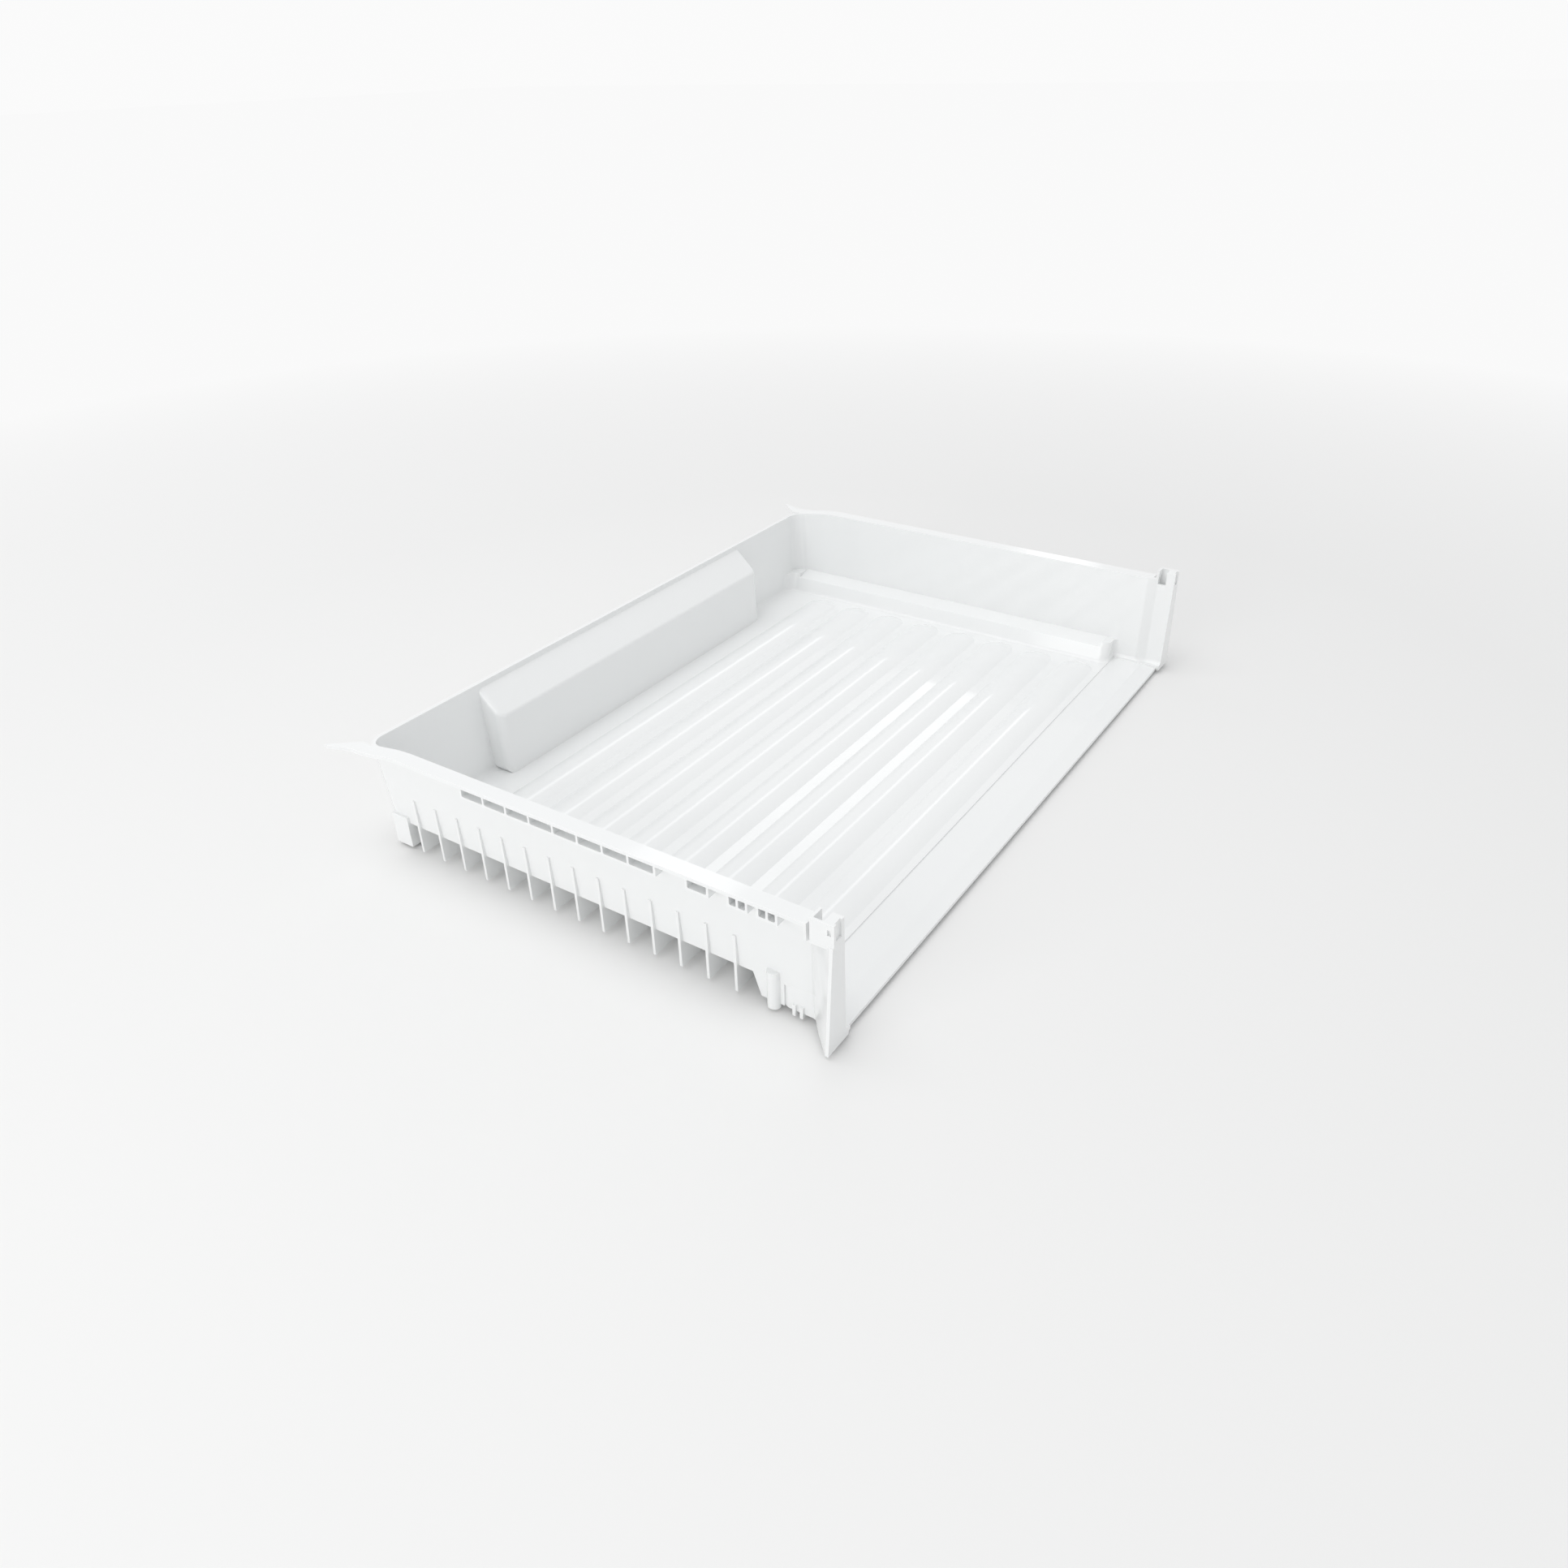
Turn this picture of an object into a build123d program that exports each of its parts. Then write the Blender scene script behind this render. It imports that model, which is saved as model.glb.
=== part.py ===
from build123d import *
import os
from math import tan, radians, sqrt

# Overall sizes of the tray, in millimetres
box_depth = 300.0
wall = 2.0
tongue_length = 16.4
overall_depth = box_depth + wall + tongue_length

# Heights above the surface that the tray stands on
floor_top = 4.0
ledge_low = 13.7
ledge_rise = 3.0
ledge_high = ledge_low + ledge_rise
wall_top = 64.2
back_drop = 3.8
back_top = wall_top - back_drop
post_rise = 5.2
post_top = wall_top + post_rise

# Inside half widths at those heights, each stepping out from the one below
floor_half = 193.4
block_draft = 3.6
block_half = floor_half + block_draft
ledge_width = 11.8
ledge_half = block_half + ledge_width
side_draft = 2.7
rim_half = ledge_half + side_draft
post_offset = 2.2
post_half_low = ledge_half + post_offset
post_draft = 2.4
post_half_high = post_half_low + post_draft

# Plan shape of the walls
back_draft = 3.3
back_corner = 9.0
bend_front = 11.0
bend_length = 6.0
bend_back = bend_front + bend_length
bend_radius = 3.5
nose_start = 33.0
nose_radius = 6.0
nose_root = 3.0
lead_in = 8.0
lead_radius = 3.0
middle_overlap = 5.0
floor_fillet = 2.5

# Sloping front lip and the step behind it
lip_edge = 2.0
lip_length = 10.0
lip_back = lip_edge + lip_length
lip_drop = 1.2
apron_length = 20.0
apron_back = lip_back + apron_length
apron_drop = 0.8

# Raised bands across the floor, spread evenly from front to back
band_count = 8
band_first = 48.0
band_rear_gap = 44.1
band_pitch = (box_depth - band_rear_gap - band_first) / (band_count - 1)
band_valley = 7.0
band_width = band_pitch - band_valley
band_rise = 2.4
band_end_gap = 5.5

# Hump in the back wall
hump_half = 132.0
hump_depth = 16.0
hump_head_gap = 3.4
hump_head = back_top - hump_head_gap
hump_slope = 14.5
hump_shoulder = hump_head - hump_slope
hump_lean = 1.5
hump_round = 5.0
shoulder_round = 3.0

# Flange along the top of each side wall
flange_width = 8.9
flange_thickness = 2.0
dip_length = 42.0
dip_end = box_depth + 2 * wall
dip_start = dip_end - dip_length
flange_start = 14.4
end_plate = 1.2
end_plate_drop = 9.2
end_plate_slant = 3.0
tongue_flare = 5.0
tongue_tip = 1.5

# Open boxes that stiffen the flange from below
pocket_height = 6.0
pocket_skin = 1.2
pocket_inset = 0.5
pocket_corner = 0.9
long_pocket_count = 8
long_pocket_start = 95.6
long_pocket_rear_gap = 78.8
long_pocket_length = box_depth - long_pocket_rear_gap - long_pocket_start
single_pocket_start = 65.7
single_pocket_length = 13.0
pair_pocket_start = 29.2
pair_pocket_pitch = 15.6
pair_pocket_length = 11.0

# Skirt that closes the front end of the step from outside
skirt_length = 12.7
skirt_slant = 4.9

# Thin gussets under the step of each side wall, spread evenly from front to back
gusset_count = 14
gusset_first = 58.65
gusset_rear_gap = 28.8
gusset_pitch = (box_depth - gusset_rear_gap - gusset_first) / (gusset_count - 1)
gusset_thickness = 1.5
gusset_reach = 1.8
gusset_outer = ledge_half + wall + gusset_reach
gusset_head = 33.0

# Guide bosses low on each side wall
boss_radius = 3.4
boss_place = 38.4
boss_height = 21.0
foot_place = 25.0
foot_gap = 4.0
foot_rib = 1.6
foot_height = 6.0
foot_reach = 1.4
rear_boss_gap = 14.0
rear_boss_place = box_depth - rear_boss_gap
rear_boss_width = 12.0
rear_boss_height = 19.0
rear_boss_skin = 1.8

# Hollow posts that take the front panel: a flared wedge that the wall bends into, with a square head
post_depth = 17.0
post_edge = 1.6
post_bend = 6.0
post_width_low = 15.2
post_outer_low = post_half_low + post_width_low
post_width_high = 8.4
post_outer_high = post_half_high + post_width_high
post_plate = 2.2
post_skin = 1.8
post_sink = 0.3
foot_round = 9.0
head_drop = 11.4
head_low = post_top - head_drop
head_depth = 12.0
head_inset = 0.3
head_outer = post_outer_high - head_inset
head_plate = 5.5
head_skin = 1.2
notch_depth = 9.0
latch_width = 2.0
latch_height = 3.0
latch_drop = 4.5
latch_place = 2.4
latch_depth = 1.2
hook_recess = 1.0
hook_height = 9.0


def along(distance):
    """Place along Y of a point at this distance behind the front face."""
    return distance - overall_depth / 2


def back_at(height):
    """Distance from the front face to the inside of the drafted back wall."""
    return box_depth - (wall_top - height) * tan(radians(back_draft))


def side_at(height):
    """Inside half width of the drafted upper side wall."""
    rise = (height - ledge_high) / (wall_top - ledge_high)
    return ledge_half + rise * (rim_half - ledge_half)


def post_at(height):
    """Inside half width between the drafted posts."""
    return post_half_low + height / post_top * (post_half_high - post_half_low)


def post_outer_at(height):
    """Outside half width over the drafted posts."""
    return post_outer_low + height / post_top * (post_outer_high - post_outer_low)


def inset_at(height):
    """Inside half width between the blocks below the ledge."""
    return floor_half + (height - floor_top) / (ledge_low - floor_top) * (block_half - floor_half)


def upper_plan(height, start, grow=0.0):
    """Right half of the plan above the ledge, of the inside, or of the outside when grown by the wall."""
    with BuildSketch(Plane.XY.offset(height)) as plan:
        with BuildLine():
            FilletPolyline(
                (start, along(-lead_in)),
                (post_at(height) + grow, along(-lead_in)),
                (post_at(height) + grow, along(bend_front)),
                (side_at(height) + grow, along(bend_back)),
                (side_at(height) + grow, along(back_at(height)) + grow),
                (start, along(back_at(height)) + grow),
                radius=[lead_radius, bend_radius, bend_radius, back_corner + grow],
            )
            Line((start, along(back_at(height)) + grow), (start, along(-lead_in)))
        make_face()
    return plan.sketch


def lower_plan(height, start, grow=0.0):
    """Right half of the plan below the ledge, where a block stands in from the side wall."""
    with BuildSketch(Plane.XY.offset(height)) as plan:
        with BuildLine():
            FilletPolyline(
                (start, along(-lead_in)),
                (post_at(height) + grow, along(-lead_in)),
                (post_at(height) + grow, along(bend_front)),
                (ledge_half + grow, along(bend_back)),
                (ledge_half + grow, along(nose_start) + grow),
                (inset_at(height) + grow, along(nose_start) + grow),
                (inset_at(height) + grow, along(back_at(height)) + grow),
                (start, along(back_at(height)) + grow),
                radius=[
                    lead_radius,
                    bend_radius,
                    bend_radius,
                    nose_root + grow,
                    nose_radius - grow,
                    back_corner + grow,
                ],
            )
            Line((start, along(back_at(height)) + grow), (start, along(-lead_in)))
        make_face()
    return plan.sketch


def post_root_at(height):
    """Half width where the flared face of the post starts, just under the outside of the wall."""
    return side_at(max(height, ledge_high)) + wall - post_sink


def wedge_plan(height):
    """Plan of the flared part of the right-hand post, with the bend into the wall."""
    with BuildSketch(Plane.XY.offset(height)) as plan:
        with BuildLine():
            Polyline(
                (post_at(height) - wall, along(0)),
                (post_outer_at(height), along(0)),
                (post_outer_at(height), along(post_edge)),
                (post_root_at(height), along(post_depth)),
                (post_root_at(height), along(post_depth + post_bend)),
                (post_at(height) - wall, along(post_depth + post_bend)),
                close=True,
            )
        make_face()
        fillet(plan.vertices().group_by(Axis.Y)[2], post_bend)
    return plan.sketch


def core_plan(height):
    """Plan of the hollow inside the flared part, one skin away from its faces."""
    slope = (post_outer_at(height) - post_root_at(height)) / (post_depth - post_edge)
    far_line = post_outer_at(height) - post_skin * sqrt(1 + slope**2)
    near = post_at(height) + post_skin
    with BuildSketch(Plane.XY.offset(height)) as plan:
        with BuildLine():
            Polyline(
                (near, along(post_plate)),
                (far_line - slope * (post_plate - post_edge), along(post_plate)),
                (near, along(post_edge + (far_line - near) / slope)),
                close=True,
            )
        make_face()
    return plan.sketch


def rim_line(start, end, lift):
    """Draws the rim from start to end along Y, with its dip to the back wall."""
    middle = along((dip_start + dip_end) / 2)
    Line((start, wall_top + lift), (along(dip_start), wall_top + lift))
    Bezier(
        (along(dip_start), wall_top + lift),
        (middle, wall_top + lift),
        (middle, back_top + lift),
        (along(dip_end), back_top + lift),
    )
    if end > along(dip_end):
        Line((along(dip_end), back_top + lift), (end, back_top + lift))


# Right half of the space inside the tray
above_rim = post_top + wall
with BuildPart() as inside:
    loft([lower_plan(floor_top, -middle_overlap), lower_plan(ledge_high, -middle_overlap)], ruled=True)
    floor_face = inside.faces().sort_by(Axis.Z)[0]
    side_edges = floor_face.edges().sort_by(Axis.X)[1:]
    fillet(side_edges.filter_by(lambda e: e.center().Y > along(-lead_in / 2)), floor_fillet)
    with BuildSketch(Plane.XZ.offset(-along(nose_start + nose_radius))):
        with BuildLine():
            Polyline(
                (block_half - wall, ledge_low),
                (block_half, ledge_low),
                (ledge_half, ledge_high),
                (ledge_half, ledge_high + wall),
                (block_half - wall, ledge_high + wall),
                close=True,
            )
        make_face()
    extrude(amount=-(back_at(ledge_low) - nose_start - nose_radius - back_corner))
    loft([upper_plan(ledge_high, -middle_overlap), upper_plan(above_rim, -middle_overlap)], ruled=True)

# Right half of one raised band of the floor, with its domed end, standing on height zero
band_radius = (band_width**2 / 4 + band_rise**2) / (2 * band_rise)
band_reach = floor_half - band_end_gap - band_width / 2
with BuildPart() as band:
    with BuildSketch(Plane.YZ):
        with BuildLine():
            Line((-band_width / 2, 0), (band_width / 2, 0))
            ThreePointArc((band_width / 2, 0), (0, band_rise), (-band_width / 2, 0))
        make_face()
    extrude(amount=band_reach)
    with BuildSketch(Plane(origin=(band_reach, 0, 0), x_dir=(0, -1, 0), z_dir=(-1, 0, 0))):
        with BuildLine():
            Line((0, 0), (band_width / 2, 0))
            RadiusArc((band_width / 2, 0), (0, band_rise), -band_radius)
            Line((0, band_rise), (0, 0))
        make_face()
    revolve(axis=Axis((band_reach, 0, 0), (0, 0, 1)), revolution_arc=180)

# Post at the front of the right-hand side: the flared wedge, its rounded foot and its square head
with BuildPart() as post:
    loft([wedge_plan(0), wedge_plan(ledge_high), wedge_plan(head_low)], ruled=True)
    foot_back = post_depth + 2 * post_bend
    with BuildSketch(Plane.YZ.offset(post_half_low - 2 * wall)):
        with BuildLine():
            Polyline(
                (along(post_depth), foot_round),
                (along(foot_back), foot_round),
                (along(foot_back), 0),
                (along(post_depth - foot_round), 0),
            )
            RadiusArc((along(post_depth - foot_round), 0), (along(post_depth), foot_round), -foot_round)
        make_face()
    extrude(amount=post_outer_low - post_half_low + 3 * wall, mode=Mode.SUBTRACT)
    with BuildSketch(Plane.XY.offset(head_low - wall)):
        with Locations(((post_half_low - wall + head_outer) / 2, along(head_depth / 2))):
            Rectangle(head_outer - post_half_low + wall, head_depth)
    extrude(amount=head_drop + wall)

# Hollows of that post: its core, the pocket and notch of the head, the hook recess and the latch slot
with BuildPart() as post_hollow:
    loft([core_plan(0), core_plan(ledge_high), core_plan(head_low - wall)], ruled=True)
    pocket_near = post_half_high + head_skin
    pocket_far = head_outer - head_skin
    pocket_back = head_depth - head_skin
    with BuildSketch(Plane.XY.offset(head_low)):
        with Locations(((pocket_near + pocket_far) / 2, along((head_plate + pocket_back) / 2))):
            Rectangle(pocket_far - pocket_near, pocket_back - head_plate)
    extrude(amount=head_drop + wall)
    with BuildSketch(Plane.XY.offset(post_top - notch_depth)):
        with Locations((post_half_high, along((head_plate + pocket_back) / 2))):
            Rectangle(2 * head_skin + wall, pocket_back - head_plate)
    extrude(amount=notch_depth + wall)
    with BuildSketch(Plane.XZ.offset(-along(-wall))):
        with Locations(((post_half_high + head_outer) / 2, post_top - hook_height / 2 + wall / 2)):
            Rectangle(head_outer - post_half_high - 2 * post_skin, hook_height + wall)
    extrude(amount=-(hook_recess + wall))
    with BuildSketch(Plane.YZ.offset(head_outer - latch_depth)):
        with Locations((along(latch_place), post_top - latch_drop)):
            Rectangle(latch_width, latch_height)
    extrude(amount=latch_depth + wall)

# Right half of the hump of the back wall
with BuildPart() as hump:
    with BuildSketch(Plane.YZ):
        with BuildLine():
            Polyline(
                (along(back_at(hump_head)) + wall / 2, hump_head),
                (along(back_at(hump_head)), hump_head),
                (along(box_depth - hump_depth), hump_shoulder),
                (along(box_depth - hump_depth - hump_lean), floor_top - wall / 2),
                (along(back_at(floor_top)) + wall / 2, floor_top - wall / 2),
                close=True,
            )
        make_face()
    extrude(amount=hump_half)
    end_face = hump.faces().sort_by(Axis.X)[-1]
    fillet(end_face.edges().sort_by(Axis.Y)[:2], hump_round)
    shoulder = hump.edges().filter_by(Axis.X).sort_by(Axis.Y)[1]
    fillet(shoulder, shoulder_round)

# Right half of the hollow behind the hump, open to the back and below
hollow_front = box_depth - hump_depth + wall
hollow_back = box_depth + 2 * wall
with BuildPart() as hump_hollow:
    with BuildSketch(Plane.YZ.offset(-middle_overlap)):
        with BuildLine():
            Polyline(
                (along(hollow_back), hump_head - wall / 2),
                (along(back_at(hump_head) + wall), hump_head - wall / 2),
                (along(hollow_front), hump_shoulder - wall / 2),
                (along(hollow_front - hump_lean), 0),
                (along(hollow_back), 0),
                close=True,
            )
        make_face()
    extrude(amount=hump_half - wall + middle_overlap)

# The moulding, built as its right half and mirrored
flange_outer = rim_half + flange_width
flange_root = rim_half + wall / 2
flange_front = along(flange_start)
pocket_floor = wall_top - flange_thickness - pocket_height
pocket_outer = flange_outer - pocket_inset
outer_low = ledge_half + wall
under = floor_top - wall
shelf = ledge_high - wall / 2
with BuildPart() as drawer_body:
    # Outside of the walls, the step under the ledge and the floor
    loft([upper_plan(ledge_high - wall, 0, wall), upper_plan(above_rim, 0, wall)], ruled=True)
    loft([lower_plan(under, 0, wall), lower_plan(shelf, 0, wall)], ruled=True)
    with BuildSketch(Plane.XZ.offset(-along(nose_start + wall))):
        with BuildLine():
            Polyline(
                (floor_half, ledge_low - wall),
                (block_half + wall, ledge_low - wall),
                (outer_low - wall / 4, ledge_high - wall),
                (outer_low - wall / 4, ledge_high),
                (floor_half, ledge_high),
                close=True,
            )
        make_face()
    extrude(amount=-(back_at(ledge_low) - nose_start - wall - back_corner))

    # Flange, trimmed together with the wall to the rim and its dip
    with BuildSketch(Plane.YZ.offset(flange_root)):
        with BuildLine():
            rim_line(flange_front, along(dip_end), -flange_thickness)
            Polyline(
                (along(dip_end), back_top - flange_thickness),
                (along(dip_end), post_top),
                (flange_front, post_top),
                (flange_front, wall_top - flange_thickness),
            )
        make_face()
    extrude(amount=flange_width - wall / 2)
    plate_low = wall_top - end_plate_drop
    with BuildSketch(Plane.XZ.offset(-flange_front)):
        with BuildLine():
            Polyline(
                (flange_root, plate_low - end_plate_slant),
                (flange_outer, plate_low),
                (flange_outer, post_top),
                (flange_root, post_top),
                close=True,
            )
        make_face()
    extrude(amount=-end_plate)
    clear_front = along(-2 * lead_in)
    clear_back = overall_depth / 2 + wall
    with BuildSketch(Plane.YZ.offset(-middle_overlap)):
        with BuildLine():
            rim_line(clear_front, clear_back, 0)
            Polyline(
                (clear_back, back_top),
                (clear_back, above_rim + wall),
                (clear_front, above_rim + wall),
                (clear_front, wall_top),
            )
        make_face()
    extrude(amount=post_outer_low + middle_overlap, mode=Mode.SUBTRACT)

    # Pointed tongue that flares out of the flange behind the back wall
    with BuildSketch(Plane.XY.offset(back_top - flange_thickness)):
        with BuildLine():
            Polyline(
                (flange_root, along(dip_end)),
                (flange_outer, along(dip_end)),
                (flange_outer + tongue_flare, overall_depth / 2),
                (flange_outer + tongue_flare - tongue_tip, overall_depth / 2),
                close=True,
            )
        make_face()
    extrude(amount=flange_thickness)

    # Boxes under the flange, each open to the outside
    rows = [
        (long_pocket_start, long_pocket_length, long_pocket_count),
        (single_pocket_start, single_pocket_length, 1),
        (pair_pocket_start, pair_pocket_length, 2),
        (pair_pocket_start + pair_pocket_pitch, pair_pocket_length, 2),
    ]
    for start, length, cells in rows:
        middle = along(start + length / 2)
        cell = (length - (cells + 1) * pocket_skin) / cells
        with BuildSketch(Plane.YZ.offset(flange_root)):
            with Locations((middle, pocket_floor + pocket_height / 2 + pocket_skin / 2)):
                Rectangle(length, pocket_height + pocket_skin)
            with Locations((middle, pocket_floor + pocket_skin + pocket_height / 2)):
                with GridLocations(cell + pocket_skin, 1, cells, 1):
                    RectangleRounded(cell, pocket_height, pocket_corner, mode=Mode.SUBTRACT)
        extrude(amount=pocket_outer - flange_root)

    # Skirt in front of the first gusset, with a slanted end
    skirt_end = nose_start + skirt_length
    with BuildSketch(Plane.YZ.offset(ledge_half)):
        with BuildLine():
            Polyline(
                (along(nose_start), under),
                (along(skirt_end), under),
                (along(skirt_end + skirt_slant), ledge_high),
                (along(nose_start), ledge_high),
                close=True,
            )
        make_face()
    extrude(amount=wall)

    # Gussets between the step and the foot of the wall
    for number in range(gusset_count):
        middle = along(gusset_first + number * gusset_pitch)
        with BuildSketch(Plane.XZ.offset(-middle)):
            with BuildLine():
                Polyline(
                    (floor_half, 0),
                    (gusset_outer, 0),
                    (gusset_outer, gusset_head),
                    (ledge_half, gusset_head),
                    (floor_half, ledge_low),
                    close=True,
                )
            make_face()
        extrude(amount=gusset_thickness / 2, both=True)

    # Rounded guide boss, foot ribs and hollow rear boss along the bottom edge
    with BuildSketch(Plane.XY):
        with Locations((outer_low, along(boss_place))):
            Circle(boss_radius)
        for shift in (-foot_gap / 2, foot_gap / 2):
            with Locations((outer_low, along(foot_place + shift))):
                Rectangle(2 * foot_reach, foot_rib)
    extrude(amount=foot_height)
    with BuildSketch(Plane.XY.offset(foot_height)):
        with Locations((outer_low, along(boss_place))):
            Circle(boss_radius)
    extrude(amount=boss_height - foot_height)
    with BuildSketch(Plane.XY):
        with Locations(((floor_half + gusset_outer) / 2, along(rear_boss_place))):
            Rectangle(gusset_outer - floor_half, rear_boss_width)
            Rectangle(
                gusset_outer - floor_half - 2 * rear_boss_skin,
                rear_boss_width - 2 * rear_boss_skin,
                mode=Mode.SUBTRACT,
            )
    extrude(amount=rear_boss_height)

    # Post, then the space inside, the trimmed front and the hollows of the post
    add(post.part)
    add(inside.part, mode=Mode.SUBTRACT)
    with BuildSketch(Plane.XY):
        with Locations((post_outer_low / 2, along(-lead_in))):
            Rectangle(2 * post_outer_low, 2 * lead_in)
    extrude(amount=above_rim, mode=Mode.SUBTRACT)
    add(post_hollow.part, mode=Mode.SUBTRACT)

    # Step down to the apron and the sloping front lip
    apron_half = ledge_half - floor_fillet / 2
    with BuildSketch(Plane.XY):
        with Locations((0, along(apron_back / 2))):
            Rectangle(2 * apron_half, apron_back)
    extrude(amount=floor_top + wall, mode=Mode.SUBTRACT)
    apron_top = floor_top - apron_drop
    lip_top = apron_top - lip_drop
    with BuildSketch(Plane.YZ):
        with BuildLine():
            Polyline(
                (along(apron_back + wall), apron_top),
                (along(lip_back), apron_top),
                (along(lip_edge), lip_top),
                (along(lip_edge), lip_top - wall),
                (along(lip_back), apron_top - wall),
                (along(apron_back + wall), apron_top - wall),
                close=True,
            )
        make_face()
    extrude(amount=apron_half)

    # Raised bands of the floor, hollow below, and the hump of the back wall
    for number in range(band_count):
        place = along(band_first + number * band_pitch)
        with Locations((0, place, floor_top)):
            add(band.part)
        with Locations((0, place, floor_top - wall)):
            add(band.part, mode=Mode.SUBTRACT)
    add(hump.part)
    add(hump_hollow.part, mode=Mode.SUBTRACT)

    mirror(about=Plane.YZ)

drawer_body.part.label = "drawer_body"
os.makedirs("parts", exist_ok=True)
export_step(drawer_body.part, "parts/drawer_body.step")
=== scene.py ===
from math import cos, radians, sin

import bpy
from mathutils import Matrix, Vector

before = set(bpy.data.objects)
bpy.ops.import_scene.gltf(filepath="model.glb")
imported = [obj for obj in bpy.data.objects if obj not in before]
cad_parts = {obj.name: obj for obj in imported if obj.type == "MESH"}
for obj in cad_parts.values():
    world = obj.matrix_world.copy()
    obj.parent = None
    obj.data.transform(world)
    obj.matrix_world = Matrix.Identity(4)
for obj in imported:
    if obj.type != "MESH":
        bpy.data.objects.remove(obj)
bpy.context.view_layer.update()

scene = bpy.context.scene
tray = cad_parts["drawer_body"]

# Plastic, with the edge radius in metres
EDGE_RADIUS = 0.0007
COOL_WHITE = (0.880, 0.892, 0.893, 1)
PALE_WHITE = (0.905, 0.913, 0.911, 1)
# Painted highlight colour along each edge and corner of the plastic
EDGE_HIGHLIGHT_WHITE = (0.965, 0.967, 0.965, 1)

# Studio floor, in metres: the drop below the feet shows a dark line under the front lip
FLOOR_SIZE = 24.0
FLOOR_DROP = 0.002
FADE_START, FADE_END = 0.5, 1.3
FLOOR_COLOUR = (0.88, 0.878, 0.872, 1)
FAR_FLOOR_WHITE = (0.95, 0.95, 0.95, 1)

# Light from all round, and the white that the camera sees
SOFT_STRENGTH = 0.71
SOFT_COLOUR = (0.985, 0.992, 1.0, 1)
BACKGROUND_WHITE = (0.96, 0.96, 0.96, 1)

# Lamps: name, place, point looked at, length, width, power in watts, colour
LAMPS = (
    ("softbox_above", (-0.35, 0.35, 1.95), (0.0, 0.0, 0.0), 1.4, 1.4, 11.0, (1.0, 1.0, 1.0)),
    ("softbox_left", (-1.6, 0.1, 0.5), (0.0, 0.0, 0.02), 0.9, 0.9, 5.0, (1.0, 0.997, 0.99)),
    ("strip_behind", (1.9, 0.95, 1.23), (1.9, 0.0, 0.0), 2.6, 0.2, 1.7, (1.0, 1.0, 1.0)),
)

# Camera: place in metres, angles in radians, lens and sensor in millimetres
CAMERA_PLACE = (-0.5409, -0.3547, 0.3739)
CAMERA_HEADING = radians(55.655)
CAMERA_TILT = radians(32.15)
CAMERA_ROLL = -0.0265
CAMERA_LENS = 27.02
CAMERA_SENSOR = 36.0


# Small helpers for building materials

def add_node(tree, kind, **settings):
    """Adds a node of this kind and sets its properties."""
    node = tree.nodes.new(kind)
    for name, value in settings.items():
        setattr(node, name, value)
    return node


def link(tree, start, end):
    """Joins an output socket to an input socket."""
    tree.links.new(start, end)


def math_node(tree, operation, first, second):
    """Adds a Math node; each operand is a socket or a number."""
    node = add_node(tree, "ShaderNodeMath", operation=operation)
    for place, operand in enumerate((first, second)):
        if isinstance(operand, (int, float)):
            node.inputs[place].default_value = operand
        else:
            link(tree, operand, node.inputs[place])
    return node.outputs[0]


def ramp(tree, value, low, high, start, end):
    """Carries a value from one range to another, clamped at both ends."""
    node = add_node(tree, "ShaderNodeMapRange", clamp=True)
    link(tree, value, node.inputs["Value"])
    node.inputs["From Min"].default_value = low
    node.inputs["From Max"].default_value = high
    node.inputs["To Min"].default_value = start
    node.inputs["To Max"].default_value = end
    return node.outputs["Result"]


def noise(tree, vector, scale, detail, roughness):
    """Noise on the given coordinates, from 0 to 1."""
    node = add_node(tree, "ShaderNodeTexNoise")
    link(tree, vector, node.inputs["Vector"])
    node.inputs["Scale"].default_value = scale
    node.inputs["Detail"].default_value = detail
    node.inputs["Roughness"].default_value = roughness
    return node.outputs["Fac"]


def stretched(tree, vector, stretch, turn):
    """The coordinates turned about Z and stretched, for marks that run one way."""
    node = add_node(tree, "ShaderNodeMapping")
    link(tree, vector, node.inputs["Vector"])
    node.inputs["Scale"].default_value = stretch
    node.inputs["Rotation"].default_value = (0, 0, turn)
    return node.outputs["Vector"]


def seen_directly(tree):
    """One for rays from the camera, a gloss or a clear surface, and zero for other light."""
    path = add_node(tree, "ShaderNodeLightPath")
    seen = math_node(tree, "MAXIMUM", path.outputs["Is Camera Ray"], path.outputs["Is Glossy Ray"])
    return math_node(tree, "MAXIMUM", seen, path.outputs["Is Transmission Ray"])


def new_material(name):
    """An empty node material with its output node."""
    material = bpy.data.materials.new(name)
    material.use_nodes = True
    material.node_tree.nodes.clear()
    out = add_node(material.node_tree, "ShaderNodeOutputMaterial")
    return material, material.node_tree, out


# The tray's finish

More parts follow.
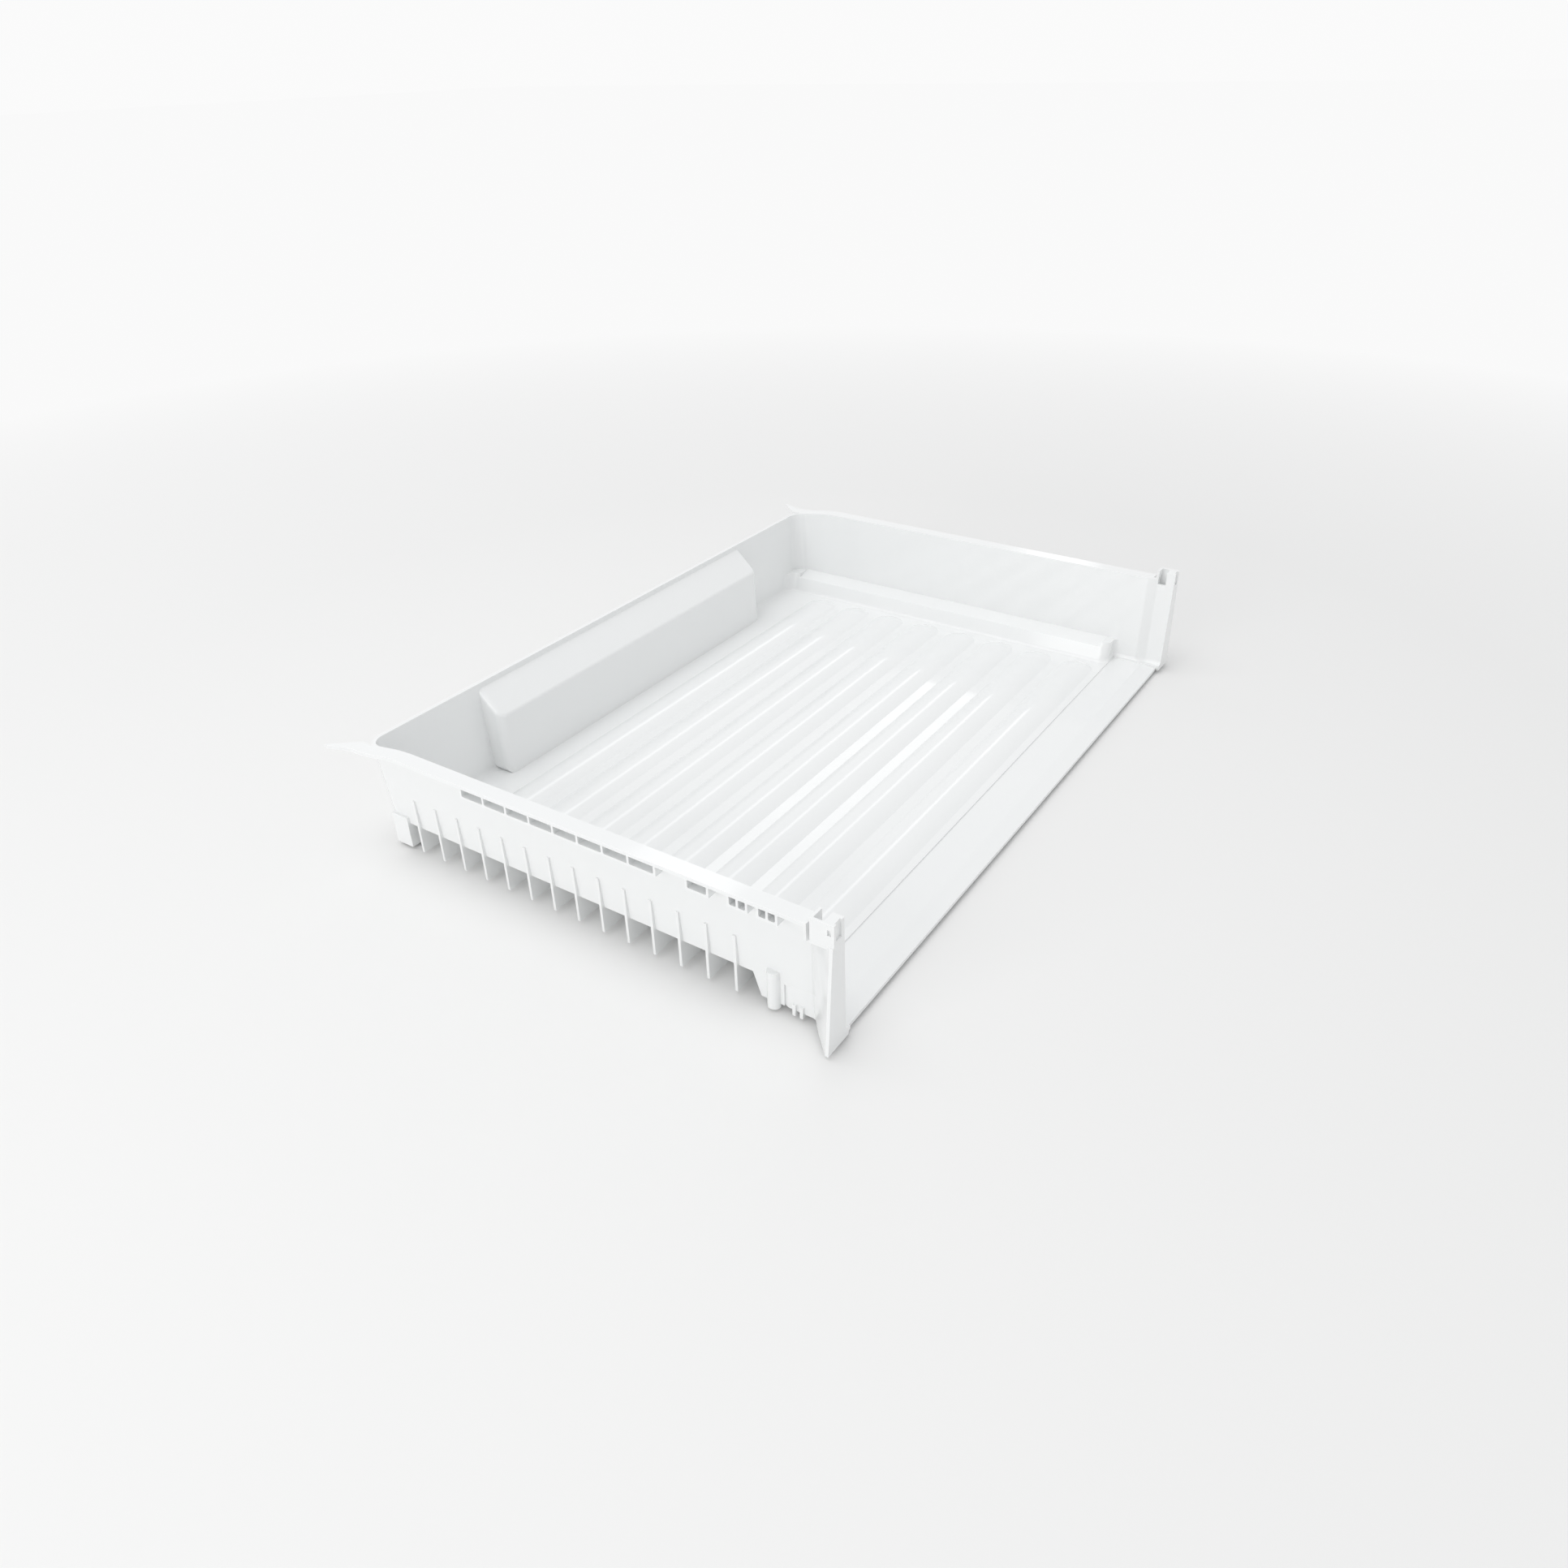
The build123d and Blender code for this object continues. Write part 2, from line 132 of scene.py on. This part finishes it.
def white_plastic():
    """Glossy white moulded plastic with a wavy skin, fine scuffs and a painted highlight along
    each edge and corner.
    """
    material, tree, out = new_material("white_plastic")
    place = add_node(tree, "ShaderNodeTexCoord").outputs["Object"]
    shader = add_node(tree, "ShaderNodeBsdfPrincipled")
    shader.inputs["IOR"].default_value = 1.52
    shader.inputs["Coat Roughness"].default_value = 0.05

    # Shallow waves that the cooling skin leaves, and a fine grain
    waves = noise(tree, place, 28.0, 2.0, 0.45)
    grain = noise(tree, place, 1400.0, 2.0, 0.5)

    # Fine scuffs from things pushed in and out along the tray
    lengthwise = stretched(tree, place, (900.0, 28.0, 200.0), 0.06)
    scuff_run = ramp(tree, noise(tree, lengthwise, 1.0, 3.0, 0.6), 0.62, 0.74, 0.0, 1.0)
    scuff_patch = ramp(tree, noise(tree, place, 9.0, 3.0, 0.55), 0.55, 0.75, 0.0, 1.0)
    scuffs = math_node(tree, "MULTIPLY", scuff_run, scuff_patch)

    # Where an edge or a corner turns: the mask for the painted highlight
    geometry = add_node(tree, "ShaderNodeNewGeometry")
    rounded = add_node(tree, "ShaderNodeBevel", samples=6)
    rounded.inputs["Radius"].default_value = EDGE_RADIUS
    turn = add_node(tree, "ShaderNodeVectorMath", operation="DOT_PRODUCT")
    link(tree, rounded.outputs["Normal"], turn.inputs[0])
    link(tree, geometry.outputs["Normal"], turn.inputs[1])
    edge_highlight_mask = ramp(tree, turn.outputs["Value"], 0.8, 0.995, 1.0, 0.0)

    # Colour: two near whites in soft patches, with a painted highlight along each edge and corner
    tint = add_node(tree, "ShaderNodeMix", data_type="RGBA")
    tint.inputs["A"].default_value = COOL_WHITE
    tint.inputs["B"].default_value = PALE_WHITE
    link(tree, noise(tree, place, 6.5, 3.0, 0.5), tint.inputs["Factor"])
    # Paints a highlight into the colour along each edge and corner
    lit_edge = add_node(tree, "ShaderNodeMix", data_type="RGBA")
    link(tree, math_node(tree, "MULTIPLY", edge_highlight_mask, 0.85), lit_edge.inputs["Factor"])
    link(tree, tint.outputs["Result"], lit_edge.inputs["A"])
    lit_edge.inputs["B"].default_value = EDGE_HIGHLIGHT_WHITE
    link(tree, lit_edge.outputs["Result"], shader.inputs["Base Color"])

    # Roughness: polished, cloudier in patches, duller along scuffs
    cloud = ramp(tree, noise(tree, place, 17.0, 4.0, 0.6), 0.3, 0.7, 0.08, 0.14)
    dull = math_node(tree, "MULTIPLY", scuffs, 0.08)
    link(tree, math_node(tree, "ADD", cloud, dull), shader.inputs["Roughness"])
    link(tree, ramp(tree, waves, 0.3, 0.7, 0.2, 0.4), shader.inputs["Coat Weight"])

    # Relief: waves, grain and scuffs
    height = math_node(tree, "ADD", waves, math_node(tree, "MULTIPLY", grain, 0.02))
    height = math_node(tree, "SUBTRACT", height, math_node(tree, "MULTIPLY", scuffs, 0.004))
    bump = add_node(tree, "ShaderNodeBump")
    bump.inputs["Strength"].default_value = 0.35
    bump.inputs["Distance"].default_value = 0.0004
    link(tree, height, bump.inputs["Height"])
    link(tree, bump.outputs["Normal"], shader.inputs["Normal"])
    link(tree, shader.outputs["BSDF"], out.inputs["Surface"])
    return material


# The studio

def studio_paper():
    """Pale paper that keeps the shadow near the tray and fades to white far away."""
    material, tree, out = new_material("studio_paper")
    place = add_node(tree, "ShaderNodeTexCoord").outputs["Object"]
    paper = add_node(tree, "ShaderNodeBsdfPrincipled")
    paper.inputs["Specular IOR Level"].default_value = 0.1
    paper.inputs["Base Color"].default_value = FLOOR_COLOUR
    tooth = ramp(tree, noise(tree, place, 60.0, 3.0, 0.6), 0.3, 0.7, 0.75, 0.9)
    link(tree, tooth, paper.inputs["Roughness"])
    white = add_node(tree, "ShaderNodeEmission")
    white.inputs["Color"].default_value = FAR_FLOOR_WHITE
    white.inputs["Strength"].default_value = 1.0
    distance = add_node(tree, "ShaderNodeVectorMath", operation="LENGTH")
    link(tree, place, distance.inputs[0])
    far = ramp(tree, distance.outputs["Value"], FADE_START, FADE_END, 0.0, 1.0)
    mix = add_node(tree, "ShaderNodeMixShader")
    link(tree, math_node(tree, "MULTIPLY", far, seen_directly(tree)), mix.inputs["Fac"])
    link(tree, paper.outputs["BSDF"], mix.inputs[1])
    link(tree, white.outputs["Emission"], mix.inputs[2])
    link(tree, mix.outputs["Shader"], out.inputs["Surface"])
    return material


def lay_floor():
    """The floor lies just under the feet of the tray."""
    bpy.ops.object.select_all(action="DESELECT")
    bpy.ops.mesh.primitive_plane_add(size=FLOOR_SIZE, location=(0, 0, -FLOOR_DROP))
    floor = bpy.context.object
    floor.name = "studio_floor"
    floor.data.materials.append(studio_paper())


def light_world():
    """Soft light from all round, in a studio that is seen as white."""
    world = bpy.data.worlds.new("studio")
    scene.world = world
    world.use_nodes = True
    tree = world.node_tree
    tree.nodes.clear()
    soft = add_node(tree, "ShaderNodeBackground")
    soft.inputs["Color"].default_value = SOFT_COLOUR
    soft.inputs["Strength"].default_value = SOFT_STRENGTH
    white = add_node(tree, "ShaderNodeBackground")
    white.inputs["Color"].default_value = BACKGROUND_WHITE
    white.inputs["Strength"].default_value = 1.0
    mix = add_node(tree, "ShaderNodeMixShader")
    link(tree, seen_directly(tree), mix.inputs["Fac"])
    link(tree, soft.outputs["Background"], mix.inputs[1])
    link(tree, white.outputs["Background"], mix.inputs[2])
    out = add_node(tree, "ShaderNodeOutputWorld")
    link(tree, mix.outputs["Shader"], out.inputs["Surface"])


def hang_lamp(name, place, target, length, width, power, colour):
    """A soft lamp of this length and width that looks at a point."""
    data = bpy.data.lights.new(name, "AREA")
    data.shape = "RECTANGLE"
    data.size = length
    data.size_y = width
    data.energy = power
    data.color = colour
    lamp = bpy.data.objects.new(name, data)
    lamp.location = place
    lamp.rotation_mode = "QUATERNION"
    lamp.rotation_quaternion = (Vector(target) - Vector(place)).to_track_quat("-Z", "Y")
    scene.collection.objects.link(lamp)


def set_camera():
    """The camera at the photograph's place, with its heading, tilt and roll."""
    forward = Vector((
        sin(CAMERA_HEADING) * cos(CAMERA_TILT),
        cos(CAMERA_HEADING) * cos(CAMERA_TILT),
        -sin(CAMERA_TILT),
    ))
    level = Vector((cos(CAMERA_HEADING), -sin(CAMERA_HEADING), 0))
    upright = level.cross(forward)
    right = cos(CAMERA_ROLL) * level + sin(CAMERA_ROLL) * upright
    up = cos(CAMERA_ROLL) * upright - sin(CAMERA_ROLL) * level
    data = bpy.data.cameras.new("camera")
    data.sensor_width = CAMERA_SENSOR
    data.lens = CAMERA_LENS
    data.clip_start = 0.01
    data.clip_end = 100.0
    camera = bpy.data.objects.new("camera", data)
    camera.rotation_mode = "QUATERNION"
    camera.rotation_quaternion = Matrix((right, up, -forward)).transposed().to_quaternion()
    camera.location = CAMERA_PLACE
    scene.collection.objects.link(camera)
    scene.camera = camera


scene.view_settings.view_transform = "Standard"
tray.data.materials.clear()
tray.data.materials.append(white_plastic())
lay_floor()
light_world()
for lamp_settings in LAMPS:
    hang_lamp(*lamp_settings)
set_camera()
